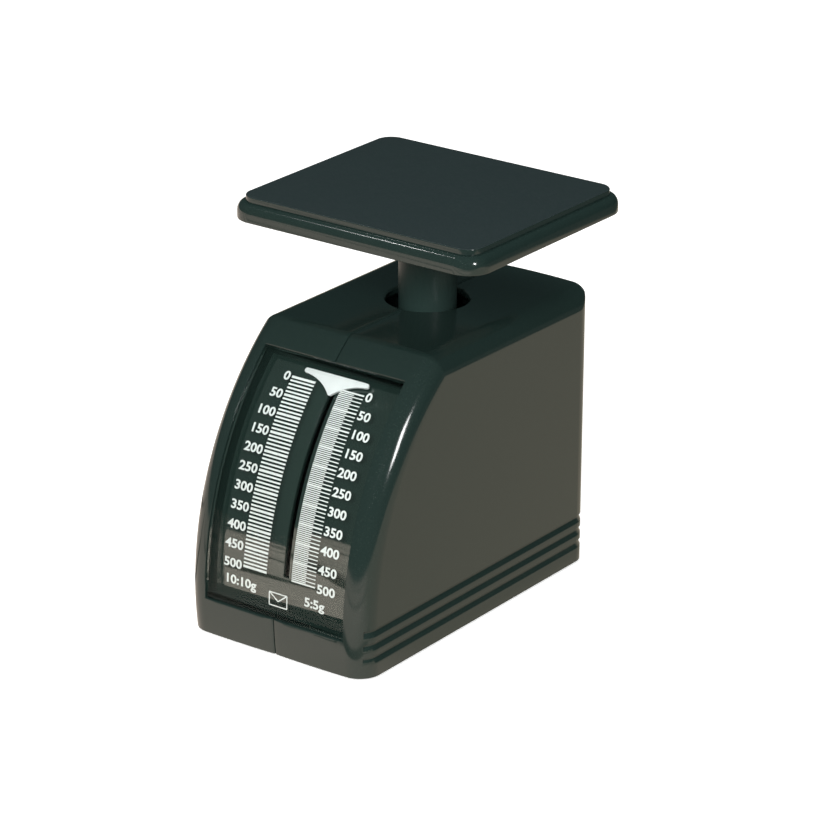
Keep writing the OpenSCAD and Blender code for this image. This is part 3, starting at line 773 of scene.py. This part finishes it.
def make_materials():
    """One material for each of the record's slots."""
    return {
        "gloss_black": gloss_black(),
        "tray_black": tray_satin(),
        "base_black": base_black(),
        "rubber_black": rubber_black(),
        "clear_pane": clear_pane(),
        "pointer_white": white_plastic("pointer_white", (0.78, 0.80, 0.80), 0.35),
        "zinc_sheet": metal("zinc_sheet", (0.56, 0.57, 0.56), 0.38, (1, 1, 8)),
        "lever_cast": metal("lever_cast", (0.50, 0.51, 0.52), 0.5, (1, 1, 1), 0.00002),
        "bright_steel": metal("bright_steel", (0.66, 0.67, 0.68), 0.18, (1, 12, 12)),
        "clip_steel": metal("clip_steel", (0.10, 0.10, 0.11), 0.42, (1, 1, 1)),
        "screw_steel": metal("screw_steel", (0.60, 0.60, 0.60), 0.28, (1, 1, 1)),
        "spring_steel": metal("spring_steel", (0.58, 0.59, 0.60), 0.25, (1, 1, 10)),
        "brass": metal("brass", (0.72, 0.52, 0.22), 0.28, (1, 1, 12)),
        "rivet_aluminium": metal("rivet_aluminium", (0.72, 0.72, 0.71), 0.34, (1, 1, 1)),
        "pointer_aluminium": metal("pointer_aluminium", (0.66, 0.67, 0.67), 0.36, (1, 1, 10)),
        "nylon_white": white_plastic("nylon_white", (0.76, 0.76, 0.70), 0.5),
    }


def paint(obj, material):
    """Gives the object this one material."""
    obj.data.materials.clear()
    obj.data.materials.append(material)
    return obj


# ---- Stage ----
ROOM_FRONT = (0.10, 0.12, 0.11)
ROOM_BACK = (0.03, 0.05, 0.048)
PLAIN_WOOD = (0.64, 0.57, 0.45)


def set_camera():
    """The camera: from the right of the window and above, with a long lens."""
    turn, rise, roll = math.radians(36.28), math.radians(21.62), math.radians(0.30)
    target = Vector((0, 0.0063, 0.0661))
    away = 1.3248
    back = Vector((math.sin(turn) * math.cos(rise), -math.cos(turn) * math.cos(rise), math.sin(rise)))
    right = Vector((math.cos(turn), math.sin(turn), 0))
    up = back.cross(right)
    right_rolled = right * math.cos(roll) + up * math.sin(roll)
    up_rolled = up * math.cos(roll) - right * math.sin(roll)
    data = bpy.data.cameras.new("camera")
    data.sensor_width = 36
    data.lens = 171.14
    data.clip_start = 0.05
    camera = bpy.data.objects.new("camera", data)
    bpy.context.scene.collection.objects.link(camera)
    turned = Matrix((right_rolled, up_rolled, back)).transposed()
    camera.matrix_world = Matrix.Translation(target + back * away) @ turned.to_4x4()
    bpy.context.scene.camera = camera


def boards_seen_in_gloss(nodes, links):
    """Warm boards that end at a straight edge: what the object's gloss shows of the table."""
    place = nodes.new("ShaderNodeTexCoord").outputs["Object"]

    def along(direction, offset):
        dot = nodes.new("ShaderNodeVectorMath")
        dot.operation = "DOT_PRODUCT"
        dot.inputs[1].default_value = direction
        links.new(place, dot.inputs[0])
        shifted = nodes.new("ShaderNodeMath")
        shifted.operation = "ADD"
        shifted.inputs[1].default_value = offset
        links.new(dot.outputs["Value"], shifted.inputs[0])
        return shifted.outputs["Value"]

    def ramp(value, stops):
        node = nodes.new("ShaderNodeValToRGB")
        elements = node.color_ramp.elements
        for element, (position, colour) in zip(elements, stops[:2]):
            element.position = position
            element.color = (*colour, 1)
        for position, colour in stops[2:]:
            elements.new(position).color = (*colour, 1)
        links.new(value, node.inputs["Fac"])
        return node.outputs["Color"]

    def blend_colours(fac, first, second, how="MIX"):
        """Blends two colours, each a field or a constant; without a factor the blend is full."""
        node = nodes.new("ShaderNodeMix")
        node.data_type = "RGBA"
        node.blend_type = how
        node.inputs["Factor"].default_value = 1
        if fac is not None:
            links.new(fac, node.inputs["Factor"])
        inputs = [socket for socket in node.inputs if socket.type == "RGBA"]
        for socket, colour in zip(inputs, (first, second)):
            if isinstance(colour, tuple):
                socket.default_value = (*colour, 1)
            else:
                links.new(colour, socket)
        return [socket for socket in node.outputs if socket.type == "RGBA"][0]

    # The table ends at a straight edge in front of the scale and behind it; the room shows past both
    edge = [(0.49, (1, 1, 1)), (0.51, (0, 0, 0))]
    near = ramp(along((0.59, -0.81, 0), 0.115), edge)
    far = ramp(along((0.59, 0.81, 0), 0.11), edge)
    table = blend_colours(None, near, far, "MULTIPLY")
    # The lines between boards show in front of the window; beside the scale the wood is plain
    in_front = ramp(along((-0.55, -0.83, 0), 0.0), [(0.0, (0, 0, 0)), (0.06, (1, 1, 1))])
    wave = nodes.new("ShaderNodeTexWave")
    wave.wave_profile = "SAW"
    wave.inputs["Scale"].default_value = 3.6
    wave.inputs["Distortion"].default_value = 1.4
    wave.inputs["Detail Scale"].default_value = 2.0
    turned = nodes.new("ShaderNodeMapping")
    turned.inputs["Rotation"].default_value = (0, 0, math.radians(60))
    links.new(place, turned.inputs["Vector"])
    links.new(turned.outputs["Vector"], wave.inputs["Vector"])
    lines = ramp(wave.outputs["Fac"], [(0.0, (0.10, 0.08, 0.06)), (0.10, (0.16, 0.13, 0.11)),
                                       (0.16, (0.98, 0.84, 0.72)), (1.0, (1.2, 1.02, 0.88))])
    boards = blend_colours(in_front, PLAIN_WOOD, lines)
    return blend_colours(table, ROOM_FRONT, boards)


def set_floor():
    """A floor that is plain and pale to the camera, and warm boards to the object and its gloss."""
    half, level = 3.0, -0.05 * MM
    corners = [(-half, -half, level), (half, -half, level), (half, half, level), (-half, half, level)]
    floor = add_object("floor", corners, [(0, 1, 2, 3)])
    material = bpy.data.materials.new("floor")
    material.use_nodes = True
    nodes, links = material.node_tree.nodes, material.node_tree.links
    nodes.clear()
    out = nodes.new("ShaderNodeOutputMaterial")
    path = nodes.new("ShaderNodeLightPath")
    glow = nodes.new("ShaderNodeEmission")
    white = nodes.new("ShaderNodeEmission")
    white.inputs["Color"].default_value = (1, 1, 1, 1)
    white.inputs["Strength"].default_value = 0.62
    plain = nodes.new("ShaderNodeBsdfDiffuse")
    plain.inputs["Color"].default_value = (0.80, 0.80, 0.79, 1)
    lit = nodes.new("ShaderNodeAddShader")
    mix = nodes.new("ShaderNodeMixShader")
    links.new(boards_seen_in_gloss(nodes, links), glow.inputs["Color"])
    links.new(white.outputs["Emission"], lit.inputs[0])
    links.new(plain.outputs["BSDF"], lit.inputs[1])
    links.new(path.outputs["Is Camera Ray"], mix.inputs["Fac"])
    links.new(glow.outputs["Emission"], mix.inputs[1])
    links.new(lit.outputs["Shader"], mix.inputs[2])
    links.new(mix.outputs["Shader"], out.inputs["Surface"])
    paint(floor, material)


def set_world():
    """White to the camera and an even grey light on the object, whose gloss shows a dim green-grey room."""
    world = bpy.data.worlds.new("world")
    bpy.context.scene.world = world
    world.use_nodes = True
    nodes, links = world.node_tree.nodes, world.node_tree.links
    nodes.clear()
    out = nodes.new("ShaderNodeOutputWorld")
    path = nodes.new("ShaderNodeLightPath")
    direction = nodes.new("ShaderNodeSeparateXYZ")
    links.new(nodes.new("ShaderNodeTexCoord").outputs["Generated"], direction.inputs["Vector"])
    behind = nodes.new("ShaderNodeMapRange")
    behind.inputs["From Min"].default_value = -0.45
    behind.inputs["From Max"].default_value = 0.55
    links.new(direction.outputs["Y"], behind.inputs["Value"])
    tint = nodes.new("ShaderNodeValToRGB")
    tint.color_ramp.elements[0].color = (*ROOM_FRONT, 1)
    tint.color_ramp.elements[1].color = (*ROOM_BACK, 1)
    links.new(behind.outputs["Result"], tint.inputs["Fac"])
    room = nodes.new("ShaderNodeBackground")
    links.new(tint.outputs["Color"], room.inputs["Color"])
    white = nodes.new("ShaderNodeBackground")
    white.inputs["Color"].default_value = (1, 1, 1, 1)
    soft = nodes.new("ShaderNodeBackground")
    soft.inputs["Color"].default_value = (0.22, 0.22, 0.22, 1)
    gloss = nodes.new("ShaderNodeMixShader")
    links.new(path.outputs["Is Glossy Ray"], gloss.inputs["Fac"])
    links.new(soft.outputs["Background"], gloss.inputs[1])
    links.new(room.outputs["Background"], gloss.inputs[2])
    mix = nodes.new("ShaderNodeMixShader")
    links.new(path.outputs["Is Camera Ray"], mix.inputs["Fac"])
    links.new(gloss.outputs["Shader"], mix.inputs[1])
    links.new(white.outputs["Background"], mix.inputs[2])
    links.new(mix.outputs["Shader"], out.inputs["Surface"])


def soft_light(name, direction, distance, width, height, power, mirrored=True, centre=(0, 0, 0.07)):
    """A rectangular studio light that faces a point of the scale; mirrored says if its gloss shows it."""
    data = bpy.data.lights.new(name, "AREA")
    data.shape = "RECTANGLE"
    data.size = width
    data.size_y = height
    data.energy = power
    light = bpy.data.objects.new(name, data)
    bpy.context.scene.collection.objects.link(light)
    toward = Vector(direction).normalized()
    light.location = Vector(centre) + toward * distance
    light.rotation_euler = toward.to_track_quat("Z", "Y").to_euler()
    light.visible_glossy = mirrored
    return light


def set_lights():
    """Broad lights that only model the form, and small ones for the highlights. Returns the tray's own."""
    soft_light("overhead", (-0.25, 0.25, 1), 1.5, 0.9, 0.9, power=10, mirrored=False)
    soft_light("front", (0.35, -0.9, 0.55), 1.5, 0.6, 0.6, power=24, mirrored=False)
    soft_light("window", (0.83, -0.38, 0.42), 1.4, 0.2, 0.34, power=6)
    edge_z = tray_high.z - 4 * MM
    edge_middle, edge_end = (0, tray_low.y, edge_z), (0.037, tray_low.y, edge_z)
    from_left = (-0.55, -0.3, 0.77)
    strip = soft_light("strip", from_left, 1.4, 0.2, 0.08, power=0.3, centre=edge_middle)
    strip_end = soft_light("strip_end", from_left, 1.4, 0.04, 0.05, power=0.35, centre=edge_end)
    return [strip, strip_end]


# ---- Assembly ----
set_camera()
bpy.context.scene.view_settings.view_transform = "Standard"
set_floor()
set_world()
tray_lights = set_lights()

MATERIALS = make_materials()
for part in frame["record"]["subparts"]:
    paint(NODES[part["node"]], MATERIALS[part["material_slot"]])
# The post's lighter base colour is painted light against the shade under the tray
paint(NODES["post"], post_satin())


def place(piece, body, slot_name, *replaced):
    """Rides the piece on its body, paints it with its slot's material and hides the CAD nodes that it stands for.
    """
    paint(piece, MATERIALS[slot_name])
    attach(piece, body)
    if replaced:
        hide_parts(*replaced)
    return piece


place(make_shell("shell_right", 1), "housing", "gloss_black", "housing_right")
place(make_shell("shell_left", -1), "housing", "gloss_black", "housing_left")
dial = place(make_dial(), "housing", "gloss_black", "dial_tray")
# The dial's lighter base is painted light for the shaded recess behind the pane
paint(dial, dial_black())
place(make_pane(), "housing", "clear_pane", "window_pane")
dial_print = place(make_print(), "housing", "pointer_white")
paint(dial_print, ink_white())
# A choice of looks: the dial behind shows no second, mirrored image of the print
dial_print.visible_glossy = False
place(make_pointer(), "main_lever", "pointer_white", "pointer_head")

tray = place(make_tray(), "post", "tray_black", "weighing_tray")
tray.data.materials.append(MATERIALS["gloss_black"])
satin_from = tray_high.z - 0.2 * MM
for polygon in tray.data.polygons:
    if polygon.center.z < satin_from:
        polygon.material_index = 1

# The two small lights make the highlight along the tray's edge, and light the tray alone
lit_tray = bpy.data.collections.new("lit_tray")
lit_tray.objects.link(tray)
for light in tray_lights:
    light.light_linking.receiver_collection = lit_tray

spring_lower, spring_upper, joins = make_spring()
for spring in (spring_lower, spring_upper):
    paint(spring, MATERIALS["spring_steel"])
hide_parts("tension_spring")
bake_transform(spring_lower)
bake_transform(spring_upper)
